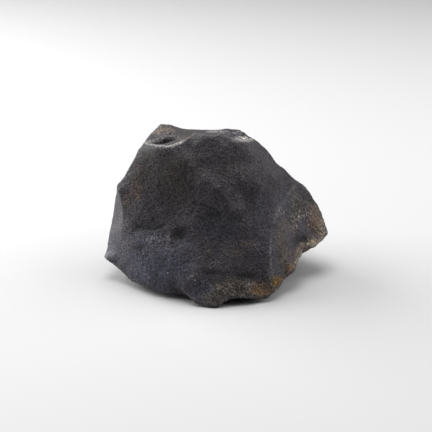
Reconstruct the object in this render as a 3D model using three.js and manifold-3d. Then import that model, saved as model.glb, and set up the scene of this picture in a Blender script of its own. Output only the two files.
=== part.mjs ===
// Stony meteorite: one dark, angular, weathered stone that rests on a broken flat facet.
// Units are millimetres, +Z is up. The origin is the middle of the stone's box, on the plane it rests on.
// The stone's best-known side looks towards -Y and a little upwards.
import * as THREE from 'three';
import { ConvexHull } from 'three/addons/math/ConvexHull.js';
import { mergeVertices } from 'three/addons/utils/BufferGeometryUtils.js';
import Module from 'manifold-3d';

// ---- driving dimensions ----
const WIDTH = 80;            // X, from the left corner to the right corner
const DEPTH = 60.5;          // Y, front to back
const HEIGHT = 53.3;         // Z, resting face to the top corner
const HEART = [-0.1, -1.5, 22];  // a point inside that sees the whole surface
const FACE_TILT = 22;        // degrees that the front leans back; dents there go in square to it
const SURFACE_DETAIL = 15;   // surface divisions: 20 * (SURFACE_DETAIL + 1)^2 triangles
const WEAR_ROUNDS = 1;       // rounding of the edges by wear
const WEAR_SHARE = 0.35;
const REST_TRIM = 0.4;       // cut above the lowest point that makes the resting face flat

// ---- landmarks of the surface, [x, y, z] ----
// edge that bounds the stone seen from the front, from the left corner over the top and round below
const RIM = [
  [-39.8, -5, 7.8], [-38.5, 0.4, 13], [-36.9, 2.7, 19.9], [-35.8, 3, 26], [-34.4, -3.4, 34.3],
  [-31.9, -3.7, 37.5], [-28.9, -4, 40.8], [-28.2, -2.9, 44], [-26.8, -1.8, 46.7], [-24.4, 5.5, 48.1],
  [-23.4, 9.9, 48.4], [-19.8, 15.1, 50.6], [-17.5, 16.5, 50.2], [-12.8, 15, 49], [-9.2, 8.6, 50.6],
  [-5.5, 2.5, 51.4], [-2.2, 0.9, 51.6], [-1.3, 1.7, 52.2], [0.9, 1.9, 51.4], [4, 7.8, 51.2], [8.1, 9.5, 50.2],
  [11.3, 8.2, 48.3], [13.6, 6.4, 47.7], [16.4, 2.6, 46.5], [19.3, 1.4, 43.3], [22.2, 1.4, 39.4],
  [23.3, 1.7, 38.8], [26.8, 3.3, 34.8], [30.7, 6, 30.9], [33.6, 7.3, 27.4], [36.6, 7.5, 22.5],
  [38.7, 7.6, 17.5], [40.1, 4.5, 13.8], [40.1, 3.2, 13.1], [38.1, -0.4, 12.3], [35.2, -4, 11.3],
  [32.1, -6.1, 11.5], [30, -7.1, 11.8], [29.5, -10.4, 10.3], [28, -14.1, 9.1], [26.9, -16, 7],
  [25.8, -16.8, 6.4], [23.3, -18.1, 7.3], [21.5, -22.1, 3.9], [19.2, -24.7, 2.9], [17.1, -25.9, 1.5],
  [14.9, -26.5, 1.7], [10.4, -28.1, 2.5], [6.3, -28.7, 3], [2, -30, 1.7], [0.4, -30.3, 0], [-2.7, -30.4, 0.7],
  [-7.1, -29.1, 1.4], [-11.1, -25.9, 4.1], [-16.8, -23.1, 2.5], [-21.9, -20.4, 1.9], [-25.9, -17.2, 2.3],
  [-29.7, -14.3, 2.6], [-32.2, -11.4, 3.9], [-34.9, -9.2, 5.4], [-39.3, -6, 7.5],
];
// sharp upper edge of the front, along the broken top
const TOP_EDGE = [
  [-24.8, 2.7, 47.9], [-22.6, -2.1, 48.7], [-20, -5.6, 49.2], [-17.2, -7.2, 49.3], [-14.5, -7.1, 49.9],
  [-11.6, -5.8, 50.9], [-9.5, -4.3, 51.9], [-7.4, -2.6, 52.8], [-4.5, -4.9, 53.2], [-1.4, -6.1, 53],
  [1.3, -4.9, 53.3], [3.3, -5.2, 52.6], [5, -6.7, 51.4], [6.7, -6.4, 50.8], [10.2, -4, 50], [13.1, 0.5, 48],
];
// broken top facets
const TOP = [
  [-17.9, 4.8, 48], [-19.1, 8.7, 49.3], [-14.5, 8.2, 49.1], [-11.3, 6.6, 49.8], [6.9, 3, 50.1],
  [10.4, 3.5, 48.6], [3.7, 2.5, 51.5], [-1.1, -1.4, 52.5],
];
// edge between the front and the left side
const LEFT_EDGE = [
  [-33.7, -5.4, 33], [-33.1, -6.7, 28.8], [-32.4, -7.8, 25.6], [-32.5, -9.1, 21.2], [-33, -9.2, 18.6],
  [-32.1, -10.4, 16.5], [-31.4, -11.5, 13.2],
];
// front, from the upper left to the lower right
const FRONT = [
  [-27.9, -5.9, 38.9], [-30.4, -6.2, 35.3], [-25.8, -4.8, 43.9], [-22.7, -5.1, 45.9], [-19.2, -8.3, 43.4],
  [-19.9, -11.6, 31.9], [-26.2, -10.4, 29.6], [-28, -11.1, 25], [-7.2, -6.9, 50.1], [-6.5, -10.2, 45.8],
  [-5.8, -13.4, 40.5], [-14, -11, 39.7], [-13, -12.5, 34.1], [-17.5, -13.7, 27.9], [-22.7, -13.1, 25.8],
  [-30.5, -11, 21.1], [-26.2, -12.8, 22.2], [-22, -14.2, 22.7], [-18.2, -15.5, 23.1], [-30.9, -11.6, 17.7],
  [-26.2, -14.9, 18.4], [-21.9, -17.2, 18.3], [-18.1, -18.8, 17.8], [-14, -20.3, 17.8], [-22.7, -19.5, 9.9],
  [-17.4, -21.9, 10.3], [-10.6, -25.2, 11], [-26.3, -16.7, 10.9], [-10.9, -26.1, 4.7], [-11.2, -22.7, 15.1],
  [-6.8, -27.9, 5.6], [-6.5, -27.4, 9.9], [-30.7, -12.7, 8], [-10.6, -17.1, 24.9], [-8.9, -19.4, 19.2],
  [-16.5, -15.2, 25.2], [-3.8, -17.4, 26.9], [1.3, -18.3, 25.8], [5.3, -19.4, 24.7], [-5.5, -20.9, 19.1],
  [1.3, -22.1, 17.8], [7.4, -21.7, 19.5], [9.7, -18.3, 25.4], [-0.4, -11.1, 44.4], [6.4, -9.9, 43.9],
  [3, -15, 38.6], [8.1, -12, 41.1], [-0.4, -16.4, 37.4], [7.4, -16.5, 32.3], [11.8, -12.8, 36.7],
  [13.5, -13.7, 32.7], [16.7, -9.4, 38.3], [15.7, -6.3, 42.7], [18.5, -9.6, 32.9], [15.6, -13.2, 28.8],
  [11.9, -6.1, 46.9], [2, -8.7, 48.9], [13.2, -17.5, 23.2], [13.2, -21, 17.3], [11.5, -22.7, 13.6],
  [6.3, -24.5, 14.4], [-0.4, -24.3, 14.4], [-5.5, -16, 30.1], [-2.8, -16.2, 29.7], [0.9, -16.8, 28.9],
  [4.7, -18.4, 28.3], [7.7, -17.4, 28.1], [-9.9, -11, 44.3], [-9.9, -11.7, 39.2], [-9.6, -13.3, 34.7],
  [-7.2, -12.7, 39.5], [-7, -13.7, 35.2], [-8.9, -6.8, 49], [-8.9, -9.5, 46.3], [-17.3, -11.2, 35.6],
  [6.9, -14.3, 36.4], [-13.1, -10.1, 44.9], [-24.9, -6.5, 40.7], [-34, -8.4, 9.3], [2.4, -17.2, 34.9],
  [-23.2, -18.1, 14.4], [-21.5, -9.8, 35.7], [16.1, -17.5, 21.5], [-7.4, -22.5, 15.6], [-23.9, -7.9, 38],
  [-0.2, -29.4, 5.8], [7.2, -20.3, 22.4], [12.3, -10.3, 41], [-3.3, -11.7, 43.3], [-11.5, -14.2, 30.5],
  [-3.3, -8.4, 49], [4.2, -20, 21.9], [-10.1, -18.4, 21.9], [-25.3, -9.6, 32.7], [-0.2, -20.1, 21.9],
  [-0.6, -14.5, 39.7], [-20, -9.3, 39.6], [-12.8, -15.2, 26.9], [15, -22, 13.9], [-3.3, -23.3, 15.9],
  [4.2, -12.2, 41.7], [-29.9, -7.4, 32.6], [-14.2, -23.7, 8.3], [-26.1, -17.5, 7.3], [14.7, -12.1, 36.6],
  [-26.7, -16.1, 13.9], [-20.4, -21.5, 6.1], [19, -10.6, 29.1], [-3.3, -19, 23.6], [6.2, -13.3, 39.2],
  [8.6, -6.8, 48.1], [-12.5, -12.1, 37.3], [-2.6, -10.1, 46.4], [9.2, -22.4, 16.6], [18, -6.2, 40.3],
  [-20.8, -12.4, 28.7], [13, -15.5, 27.7], [4.1, -22.7, 17.5], [11.6, -19.9, 19.6], [-14.5, -17.8, 22],
  [-23.2, -11.3, 30.1], [9.2, -14.5, 33.9], [-7.3, -25.2, 12.7], [-14.9, -12.7, 31.4], [16.5, -14.8, 24.9],
  [10, -8, 45.3], [-4, -14.9, 35.5], [-7, -17.7, 25.7], [-20, -20.4, 12.8], [-6.3, -19.5, 21.6],
  [-18.3, -16.7, 20.5], [20.5, -6.3, 34.4], [-14.8, -22.6, 13.8], [0.4, -27.4, 8.9], [16.5, -11.6, 31.3],
  [5.8, -26.9, 6.4], [-29.9, -8.7, 28.7], [2.5, -11.2, 44.2], [-27, -8.2, 34.8], [-16.6, -23.2, 5.8],
  [16.1, -19.9, 17.7], [-16.2, -8.5, 44.7], [-9, -27.1, 8], [3.5, -9.8, 46.6], [-9.8, -15.9, 27.9],
  [14, -23.3, 11.1], [2.5, -24.7, 14.3], [-22.8, -6.7, 43.3], [-2.6, -29.5, 4], [-7.7, -11.9, 42.7],
  [4.8, -8.2, 48.9], [-0.2, -16.8, 33.7], [-16.2, -21, 16], [-11.8, -10.7, 41.5], [-16.9, -9.7, 41.5],
  [5.2, -26.2, 9.5], [-35.9, -5.4, 10.7], [-3.6, -14.8, 39.1], [-12.1, -9.2, 47.5], [14.9, -3.7, 45.2],
  [-1.9, -21.5, 19.2], [11, -15.2, 30.5], [-19.7, -14, 25.3], [1.1, -12.9, 41.6], [-12.1, -19, 19.6],
  [10.6, -19.2, 22.3], [9.9, -9.9, 42.7], [12.7, -7.5, 44], [-13.9, -23.6, 4.5], [-17.3, -10.6, 38.6],
  [-10.8, -21, 17.5], [-23.6, -15, 20.1], [8.9, -24, 12.5], [-23.6, -19.9, 6.5], [-25.3, -11.8, 27],
  [-28.9, -14, 16.3], [9.9, -12.6, 39], [-20, -19.6, 15.8], [-19.4, -6.9, 45.9],
];
// brow across the middle of the front, over a shallow hollow
const BROW = [
  [-7.7, -15, 31.4], [-5.2, -15.6, 31.6], [-2.4, -16.3, 31.5], [0.9, -17.1, 30.9], [5, -18.8, 30.5],
  [8, -17.6, 30.4],
];
// ridge between the front and the right facet
const RIDGE = [
  [29.3, 4, 30.6], [26.3, -0.4, 29.8], [23.3, -4.8, 28.1], [21, -9.9, 26.4], [19.5, -14, 23.6],
  [18.7, -17.7, 19.6], [18.3, -20.8, 15.4], [18.2, -23.6, 11], [18.5, -24.1, 7.2],
];
// overhanging lip along the bottom of the front, and the rough facet under it
const LIP = [
  [-4.5, -26.4, 11.4], [-1.1, -26.7, 11.7], [2.6, -26.6, 11.3], [8.1, -24.7, 9.7], [12.1, -24.6, 8.9],
  [15.5, -24.7, 8.2],
];
const LOW = [
  [-3.8, -28.1, 7.6], [3, -28.1, 6.8], [9.7, -26.8, 6.2], [14.9, -25.4, 4.4], [18.3, -24.2, 3.8],
];
// right facet
const RIGHT = [
  [25.8, -3.1, 26.7], [29.6, 1.4, 26.8], [31.5, 1.3, 21.9], [28.7, -4.2, 20.7], [33.3, -0.1, 17.9],
  [36.4, 3.3, 17.6], [31.4, -3.5, 15.4], [35.6, -0.1, 13.6], [27.9, -7.4, 17.1], [23.9, -7.7, 22.9],
  [22.6, -14.7, 18.3], [22.2, -18.2, 12.3], [21.5, -20.9, 7.9], [28, -7, 13.5], [25.6, -13.5, 12.1],
  [31.4, -4.4, 12.4], [33, 5.3, 24.7], [22.4, -17.1, 15], [26.4, -4.2, 23.5], [20.8, -5.2, 37.3],
  [24, -11, 20.3], [23.1, -3.4, 31.5], [25.4, 0.2, 32.7], [34.7, 3.2, 20.6], [20.7, -14.6, 20.7],
  [24.9, -16.4, 9.8],
];
// back, underside and resting face
const BACK = [
  [-34.6, 10.5, 12], [-26.1, 20.5, 11], [-10.1, 26.5, 10], [7.9, 28.5, 11], [21.9, 24.5, 12], [32.9, 14.5, 13],
  [-32.6, 15.5, 25], [-22.1, 25.5, 27], [-3.1, 30.5, 25], [13.9, 29.5, 28], [26.9, 22, 26], [34.9, 11.5, 20],
  [-26.1, 19, 38], [-14.1, 26.5, 41], [2.9, 27.5, 42], [14.9, 26.5, 39], [22.4, 19, 31.5], [29.9, 16.5, 28],
  [2.9, 9.5, 46], [13.9, 9.5, 44], [-38.6, -0.5, 7], [-37, 4, 9.5], [37.8, 8.8, 13.5],
];
const UNDER = [
  [-29.1, 10.5, 3.5], [-13.1, 21.5, 2.5], [6.9, 23.5, 2.5], [21.9, 17.5, 3], [29.9, 2.5, 4.5], [32.9, 5.5, 9],
  [-35, -3.5, 4.8], [-32.5, -6, 2.6], [36.8, 3.5, 10.2],
];
const BASE = [
  [0.2, -28.5, 0], [8.4, -19.5, 0], [16.4, -18, 0], [22.9, -9.5, 0], [23.9, 3.5, 0], [14.9, 16.5, 0],
  [-6.1, 17.5, 0], [-21.1, 8.5, 0], [-27.1, -2.5, 0], [-18.1, -14.5, 0], [-8.1, -23.5, 0], [-0.1, -2.5, 0],
];

// ---- broken facets that cut the back: [outward normal, distance from the origin] ----
const CLEAVES = [
  [[-0.598, 0.758, 0.259], 36.68],
  [[0.582, 0.783, 0.221], 35.61],
  [[0.020, 0.800, 0.600], 43.85],
  [[-0.100, 0.882, -0.461], 16.19],
  [[0.622, 0.602, -0.501], 20.87],
  [[-0.738, 0.419, -0.529], 23.31],
  [[0.360, 0.739, 0.569], 44.95],
  [[0.250, 0.968, 0.020], 31.39],
  [[-0.909, 0.404, 0.101], 36.83],
];

// ---- dents in the front: [x, y, z, half width, half height, depth, steepness of the upper wall] ----
const DENTS = [
  [-12.3, -18.4, 21.4, 4.1, 3.4, 1.1, 0.3],  // pit
  [31.7, -2.7, 18.2, 3.5, 4.2, 0.9, 0.2],  // right facet hollow
  [-1.4, -26.8, 11, 5.4, 2.2, 0.5, 0.4],  // lip left
  [10.1, -25.2, 8.8, 5.8, 2.2, 0.5, 0.4],  // lip right
];
// pocket behind the upper edge: [x, y, z, half width, half depth, depth]
const TOP_POCKET = [-17.3, 2.4, 48.7, 5.6, 5.6, 4.2];

const heart = new THREE.Vector3(...HEART);
const landmarks = [RIM, TOP_EDGE, TOP, LEFT_EDGE, FRONT, BROW, RIDGE, LIP, LOW, RIGHT, BACK, UNDER, BASE].flat()
  .map((p) => new THREE.Vector3(...p).sub(heart));

// The landmarks are joined by the triangles that a hull finds between their directions from the heart.
function cageTriangles() {
  const directions = landmarks.map((p) => p.clone().normalize());
  const index = new Map(directions.map((d, i) => [d, i]));
  const hull = new ConvexHull().setFromPoints(directions);
  return hull.faces.map((face) => {
    const a = index.get(face.edge.tail().point);
    const b = index.get(face.edge.head().point);
    const c = index.get(face.edge.next.head().point);
    return [a, b, c].map((i) => landmarks[i]);
  });
}

// Distance from the heart to the surface along a direction.
function makeReach() {
  const cage = cageTriangles().map(([a, b, c]) => {
    const n = new THREE.Vector3().crossVectors(b.clone().sub(a), c.clone().sub(a));
    const sides = [[a, b], [b, c], [c, a]].map(([p, q]) => new THREE.Vector3().crossVectors(p, q).normalize());
    return { n, k: n.dot(a), sides };
  });
  return (d) => {
    let best = -Infinity;
    let reach = 0;
    for (const t of cage) {
      const inside = Math.min(...t.sides.map((s) => s.dot(d)));
      if (inside > best) {
        best = inside;
        reach = t.k / t.n.dot(d);
      }
    }
    for (const [normal, distance] of CLEAVES) {
      const n = new THREE.Vector3(...normal);
      const along = n.dot(d);
      if (along > 1e-3) reach = Math.min(reach, (distance - n.dot(heart)) / along);
    }
    return reach;
  };
}

// Each vertex moves part of the way to the mean of its neighbours.
function wear(points, triangles) {
  const near = points.map(() => new Set());
  for (const t of triangles) for (let i = 0; i < 3; i++) near[t[i]].add(t[(i + 1) % 3]).add(t[(i + 2) % 3]);
  for (let round = 0; round < WEAR_ROUNDS; round++) {
    const next = points.map((p, i) => {
      const mean = new THREE.Vector3();
      for (const j of near[i]) mean.add(points[j]);
      return p.clone().lerp(mean.divideScalar(near[i].size), WEAR_SHARE);
    });
    next.forEach((p, i) => points[i].copy(p));
  }
}

// Smooth bowl: 1 in the middle, 0 at the edge. A positive lean makes the upper wall the steeper one.
function bowl(u, v, lean) {
  const q = u * u + v * v;
  return q < 1 ? (1 - q) * (1 - q) * (1 + lean * v) : 0;
}

function dent(points) {
  const tilt = THREE.MathUtils.degToRad(FACE_TILT);
  const out = new THREE.Vector3(0, -Math.cos(tilt), Math.sin(tilt));
  const up = new THREE.Vector3(0, Math.sin(tilt), Math.cos(tilt));
  for (const p of points) {
    const start = p.clone();
    for (const [x, y, z, halfWidth, halfHeight, depth, lean] of DENTS) {
      const d = start.clone().sub(new THREE.Vector3(x, y, z));
      if (Math.abs(d.dot(out)) > 8) continue;
      p.addScaledVector(out, -depth * bowl(d.x / halfWidth, d.dot(up) / halfHeight, lean));
    }
    const [x, y, z, halfWidth, halfDepth, depth] = TOP_POCKET;
    if (Math.abs(start.z - z) < 6) p.z -= depth * bowl((start.x - x) / halfWidth, (start.y - y) / halfDepth, 0);
  }
}

function asGeometry(points, triangles) {
  const geometry = new THREE.BufferGeometry();
  geometry.setAttribute('position', new THREE.Float32BufferAttribute(points.flatMap((p) => p.toArray()), 3));
  geometry.setIndex(triangles.flat());
  return geometry;
}

const wasm = await Module();
wasm.setup();

function solidOf(source) {
  const geometry = source.clone();
  geometry.deleteAttribute('normal');
  geometry.deleteAttribute('uv');
  const merged = mergeVertices(geometry);
  return new wasm.Manifold(new wasm.Mesh({
    numProp: 3,
    vertProperties: new Float32Array(merged.attributes.position.array),
    triVerts: new Uint32Array(merged.index.array),
  }));
}

function stoneGeometry() {
  const sphere = new THREE.IcosahedronGeometry(1, SURFACE_DETAIL);
  sphere.deleteAttribute('normal');
  sphere.deleteAttribute('uv');
  const ball = mergeVertices(sphere);
  const reach = makeReach();
  const points = [];
  for (let i = 0; i < ball.attributes.position.count; i++) {
    const d = new THREE.Vector3().fromBufferAttribute(ball.attributes.position, i).normalize();
    points.push(d.multiplyScalar(reach(d)).add(heart));
  }
  const triangles = [];
  for (let i = 0; i < ball.index.count; i += 3) triangles.push([0, 1, 2].map((k) => ball.index.getX(i + k)));
  wear(points, triangles);
  dent(points);

  // flat resting face
  const floor = Math.min(...points.map((p) => p.z)) + REST_TRIM;
  const slab = new THREE.BoxGeometry(200, 200, 40).translate(0, 0, floor - 20);
  const trimmed = solidOf(asGeometry(points, triangles)).subtract(solidOf(slab)).getMesh();
  const geometry = new THREE.BufferGeometry();
  geometry.setAttribute('position', new THREE.BufferAttribute(new Float32Array(trimmed.vertProperties), 3));
  geometry.setIndex(new THREE.BufferAttribute(new Uint32Array(trimmed.triVerts), 1));

  // bring the worn shape back to its full size, standing on z = 0 with its box centred on the origin
  geometry.computeBoundingBox();
  const { min, max } = geometry.boundingBox;
  geometry.translate(-(min.x + max.x) / 2, -(min.y + max.y) / 2, -min.z);
  geometry.scale(WIDTH / (max.x - min.x), DEPTH / (max.y - min.y), HEIGHT / (max.z - min.z));
  geometry.computeVertexNormals();
  return geometry;
}

const stone = new THREE.Mesh(
  stoneGeometry(),
  new THREE.MeshStandardMaterial({ color: 0x403d3f, roughness: 0.62, metalness: 0 }),
);
stone.name = 'meteorite';

const part = new THREE.Group();
part.add(stone);

export default part;
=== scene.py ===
"""Stony meteorite: the visible surface, its weathered finish and a plain studio around it.

The stone is one closed mesh. Landmarks in millimetres give its facets and edges, and the
hollows, cracks, chips and grain are moved into the mesh afterwards. Part frame, +Z up.
"""

import math
import bmesh
import bpy
import numpy as np
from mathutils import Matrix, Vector


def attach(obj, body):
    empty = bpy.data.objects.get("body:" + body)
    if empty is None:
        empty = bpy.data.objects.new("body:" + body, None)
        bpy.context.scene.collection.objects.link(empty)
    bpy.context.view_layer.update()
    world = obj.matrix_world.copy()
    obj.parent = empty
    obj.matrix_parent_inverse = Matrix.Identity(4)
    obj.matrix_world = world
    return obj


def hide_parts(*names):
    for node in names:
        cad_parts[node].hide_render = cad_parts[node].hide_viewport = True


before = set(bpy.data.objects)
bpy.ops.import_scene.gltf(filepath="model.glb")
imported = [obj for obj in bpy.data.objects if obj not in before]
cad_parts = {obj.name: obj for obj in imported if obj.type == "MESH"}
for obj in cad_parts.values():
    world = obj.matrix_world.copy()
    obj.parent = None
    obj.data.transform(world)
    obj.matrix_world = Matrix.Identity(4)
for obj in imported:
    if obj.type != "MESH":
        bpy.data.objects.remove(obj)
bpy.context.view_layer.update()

# ---------------------------------------------------------------- sizes, mm
DIVISIONS = 96  # surface divisions: 20 * DIVISIONS^2 triangles
HEART = np.array((-0.1, -1.5, 22))  # a point inside that sees the whole surface
FACE_TILT = math.radians(22.0)  # the front leans back by this much
OUT = np.array((0.0, -math.cos(FACE_TILT), math.sin(FACE_TILT)))  # square out of the front
UP = np.array((0.0, math.sin(FACE_TILT), math.cos(FACE_TILT)))  # up along the front

# ---------------------------------------------------------------- landmarks, mm
# edge that bounds the stone seen from the front, from the left corner over the top and round below
RIM = [
    (-39.8, -5, 7.8), (-38.5, 0.4, 13), (-36.9, 2.7, 19.9), (-35.8, 3, 26), (-34.4, -3.4, 34.3), (-31.9, -3.7, 37.5),
    (-28.9, -4, 40.8), (-28.2, -2.9, 44), (-26.8, -1.8, 46.7), (-24.4, 5.5, 48.1), (-23.4, 9.9, 48.4),
    (-19.8, 15.1, 50.6), (-17.5, 16.5, 50.2), (-12.8, 15, 49), (-9.2, 8.6, 50.6), (-5.5, 2.5, 51.4), (-2.2, 0.9, 51.6),
    (-1.3, 1.7, 52.2), (0.9, 1.9, 51.4), (4, 7.8, 51.2), (8.1, 9.5, 50.2), (11.3, 8.2, 48.3), (13.6, 6.4, 47.7),
    (16.4, 2.6, 46.5), (19.3, 1.4, 43.3), (22.2, 1.4, 39.4), (23.3, 1.7, 38.8), (26.8, 3.3, 34.8), (30.7, 6, 30.9),
    (33.6, 7.3, 27.4), (36.6, 7.5, 22.5), (38.7, 7.6, 17.5), (40.1, 4.5, 13.8), (40.1, 3.2, 13.1), (38.1, -0.4, 12.3),
    (35.2, -4, 11.3), (32.1, -6.1, 11.5), (30, -7.1, 11.8), (29.5, -10.4, 10.3), (28, -14.1, 9.1), (26.9, -16, 7),
    (25.8, -16.8, 6.4), (23.3, -18.1, 7.3), (21.5, -22.1, 3.9), (19.2, -24.7, 2.9), (17.1, -25.9, 1.5),
    (14.9, -26.5, 1.7), (10.4, -28.1, 2.5), (6.3, -28.7, 3), (2, -30, 1.7), (0.4, -30.3, 0), (-2.7, -30.4, 0.7),
    (-7.1, -29.1, 1.4), (-11.1, -25.9, 4.1), (-16.8, -23.1, 2.5), (-21.9, -20.4, 1.9), (-25.9, -17.2, 2.3),
    (-29.7, -14.3, 2.6), (-32.2, -11.4, 3.9), (-34.9, -9.2, 5.4), (-39.3, -6, 7.5),
]
# sharp upper edge of the front, along the broken top
TOP_EDGE = [
    (-24.8, 2.7, 47.9), (-22.6, -2.1, 48.7), (-20, -5.6, 49.2), (-17.2, -7.2, 49.3), (-14.5, -7.1, 49.9),
    (-11.6, -5.8, 50.9), (-9.5, -4.3, 51.9), (-7.4, -2.6, 52.8), (-4.5, -4.9, 53.2), (-1.4, -6.1, 53),
    (1.3, -4.9, 53.3), (3.3, -5.2, 52.6), (5, -6.7, 51.4), (6.7, -6.4, 50.8), (10.2, -4, 50), (13.1, 0.5, 48),
]
# broken top facets
TOP = [
    (-17.9, 4.8, 48), (-19.1, 8.7, 49.3), (-14.5, 8.2, 49.1), (-11.3, 6.6, 49.8), (6.9, 3, 50.1), (10.4, 3.5, 48.6),
    (3.7, 2.5, 51.5), (-1.1, -1.4, 52.5),
]
# edge between the front and the left side
LEFT_EDGE = [
    (-33.7, -5.4, 33), (-33.1, -6.7, 28.8), (-32.4, -7.8, 25.6), (-32.5, -9.1, 21.2), (-33, -9.2, 18.6),
    (-32.1, -10.4, 16.5), (-31.4, -11.5, 13.2),
]
# front, from the upper left to the lower right
FRONT = [
    (-27.9, -5.9, 38.9), (-30.4, -6.2, 35.3), (-25.8, -4.8, 43.9), (-22.7, -5.1, 45.9), (-19.2, -8.3, 43.4),
    (-19.9, -11.6, 31.9), (-26.2, -10.4, 29.6), (-28, -11.1, 25), (-7.2, -6.9, 50.1), (-6.5, -10.2, 45.8),
    (-5.8, -13.4, 40.5), (-14, -11, 39.7), (-13, -12.5, 34.1), (-17.5, -13.7, 27.9), (-22.7, -13.1, 25.8),
    (-30.5, -11, 21.1), (-26.2, -12.8, 22.2), (-22, -14.2, 22.7), (-18.2, -15.5, 23.1), (-30.9, -11.6, 17.7),
    (-26.2, -14.9, 18.4), (-21.9, -17.2, 18.3), (-18.1, -18.8, 17.8), (-14, -20.3, 17.8), (-22.7, -19.5, 9.9),
    (-17.4, -21.9, 10.3), (-10.6, -25.2, 11), (-26.3, -16.7, 10.9), (-10.9, -26.1, 4.7), (-11.2, -22.7, 15.1),
    (-6.8, -27.9, 5.6), (-6.5, -27.4, 9.9), (-30.7, -12.7, 8), (-10.6, -17.1, 24.9), (-8.9, -19.4, 19.2),
    (-16.5, -15.2, 25.2), (-3.8, -17.4, 26.9), (1.3, -18.3, 25.8), (5.3, -19.4, 24.7), (-5.5, -20.9, 19.1),
    (1.3, -22.1, 17.8), (7.4, -21.7, 19.5), (9.7, -18.3, 25.4), (-0.4, -11.1, 44.4), (6.4, -9.9, 43.9), (3, -15, 38.6),
    (8.1, -12, 41.1), (-0.4, -16.4, 37.4), (7.4, -16.5, 32.3), (11.8, -12.8, 36.7), (13.5, -13.7, 32.7),
    (16.7, -9.4, 38.3), (15.7, -6.3, 42.7), (18.5, -9.6, 32.9), (15.6, -13.2, 28.8), (11.9, -6.1, 46.9),
    (2, -8.7, 48.9), (13.2, -17.5, 23.2), (13.2, -21, 17.3), (11.5, -22.7, 13.6), (6.3, -24.5, 14.4),
    (-0.4, -24.3, 14.4), (-5.5, -16, 30.1), (-2.8, -16.2, 29.7), (0.9, -16.8, 28.9), (4.7, -18.4, 28.3),
    (7.7, -17.4, 28.1), (-9.9, -11, 44.3), (-9.9, -11.7, 39.2), (-9.6, -13.3, 34.7), (-7.2, -12.7, 39.5),
    (-7, -13.7, 35.2), (-8.9, -6.8, 49), (-8.9, -9.5, 46.3), (-17.3, -11.2, 35.6), (6.9, -14.3, 36.4),
    (-13.1, -10.1, 44.9), (-24.9, -6.5, 40.7), (-34, -8.4, 9.3), (2.4, -17.2, 34.9), (-23.2, -18.1, 14.4),
    (-21.5, -9.8, 35.7), (16.1, -17.5, 21.5), (-7.4, -22.5, 15.6), (-23.9, -7.9, 38), (-0.2, -29.4, 5.8),
    (7.2, -20.3, 22.4), (12.3, -10.3, 41), (-3.3, -11.7, 43.3), (-11.5, -14.2, 30.5), (-3.3, -8.4, 49),
    (4.2, -20, 21.9), (-10.1, -18.4, 21.9), (-25.3, -9.6, 32.7), (-0.2, -20.1, 21.9), (-0.6, -14.5, 39.7),
    (-20, -9.3, 39.6), (-12.8, -15.2, 26.9), (15, -22, 13.9), (-3.3, -23.3, 15.9), (4.2, -12.2, 41.7),
    (-29.9, -7.4, 32.6), (-14.2, -23.7, 8.3), (-26.1, -17.5, 7.3), (14.7, -12.1, 36.6), (-26.7, -16.1, 13.9),
    (-20.4, -21.5, 6.1), (19, -10.6, 29.1), (-3.3, -19, 23.6), (6.2, -13.3, 39.2), (8.6, -6.8, 48.1),
    (-12.5, -12.1, 37.3), (-2.6, -10.1, 46.4), (9.2, -22.4, 16.6), (18, -6.2, 40.3), (-20.8, -12.4, 28.7),
    (13, -15.5, 27.7), (4.1, -22.7, 17.5), (11.6, -19.9, 19.6), (-14.5, -17.8, 22), (-23.2, -11.3, 30.1),
    (9.2, -14.5, 33.9), (-7.3, -25.2, 12.7), (-14.9, -12.7, 31.4), (16.5, -14.8, 24.9), (10, -8, 45.3),
    (-4, -14.9, 35.5), (-7, -17.7, 25.7), (-20, -20.4, 12.8), (-6.3, -19.5, 21.6), (-18.3, -16.7, 20.5),
    (20.5, -6.3, 34.4), (-14.8, -22.6, 13.8), (0.4, -27.4, 8.9), (16.5, -11.6, 31.3), (5.8, -26.9, 6.4),
    (-29.9, -8.7, 28.7), (2.5, -11.2, 44.2), (-27, -8.2, 34.8), (-16.6, -23.2, 5.8), (16.1, -19.9, 17.7),
    (-16.2, -8.5, 44.7), (-9, -27.1, 8), (3.5, -9.8, 46.6), (-9.8, -15.9, 27.9), (14, -23.3, 11.1), (2.5, -24.7, 14.3),
    (-22.8, -6.7, 43.3), (-2.6, -29.5, 4), (-7.7, -11.9, 42.7), (4.8, -8.2, 48.9), (-0.2, -16.8, 33.7),
    (-16.2, -21, 16), (-11.8, -10.7, 41.5), (-16.9, -9.7, 41.5), (5.2, -26.2, 9.5), (-35.9, -5.4, 10.7),
    (-3.6, -14.8, 39.1), (-12.1, -9.2, 47.5), (14.9, -3.7, 45.2), (-1.9, -21.5, 19.2), (11, -15.2, 30.5),
    (-19.7, -14, 25.3), (1.1, -12.9, 41.6), (-12.1, -19, 19.6), (10.6, -19.2, 22.3), (9.9, -9.9, 42.7),
    (12.7, -7.5, 44), (-13.9, -23.6, 4.5), (-17.3, -10.6, 38.6), (-10.8, -21, 17.5), (-23.6, -15, 20.1),
    (8.9, -24, 12.5), (-23.6, -19.9, 6.5), (-25.3, -11.8, 27), (-28.9, -14, 16.3), (9.9, -12.6, 39),
    (-20, -19.6, 15.8), (-19.4, -6.9, 45.9),
]
# brow of the hollow in the middle of the front
BROW = [
    (-7.7, -15, 31.4), (-5.2, -15.6, 31.6), (-2.4, -16.3, 31.5), (0.9, -17.1, 30.9), (5, -18.8, 30.5),
    (8, -17.6, 30.4),
]
# ridge between the front and the right facet
RIDGE = [
    (29.3, 4, 30.6), (26.3, -0.4, 29.8), (23.3, -4.8, 28.1), (21, -9.9, 26.4), (19.5, -14, 23.6), (18.7, -17.7, 19.6),
    (18.3, -20.8, 15.4), (18.2, -23.6, 11), (18.5, -24.1, 7.2),
]
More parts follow.
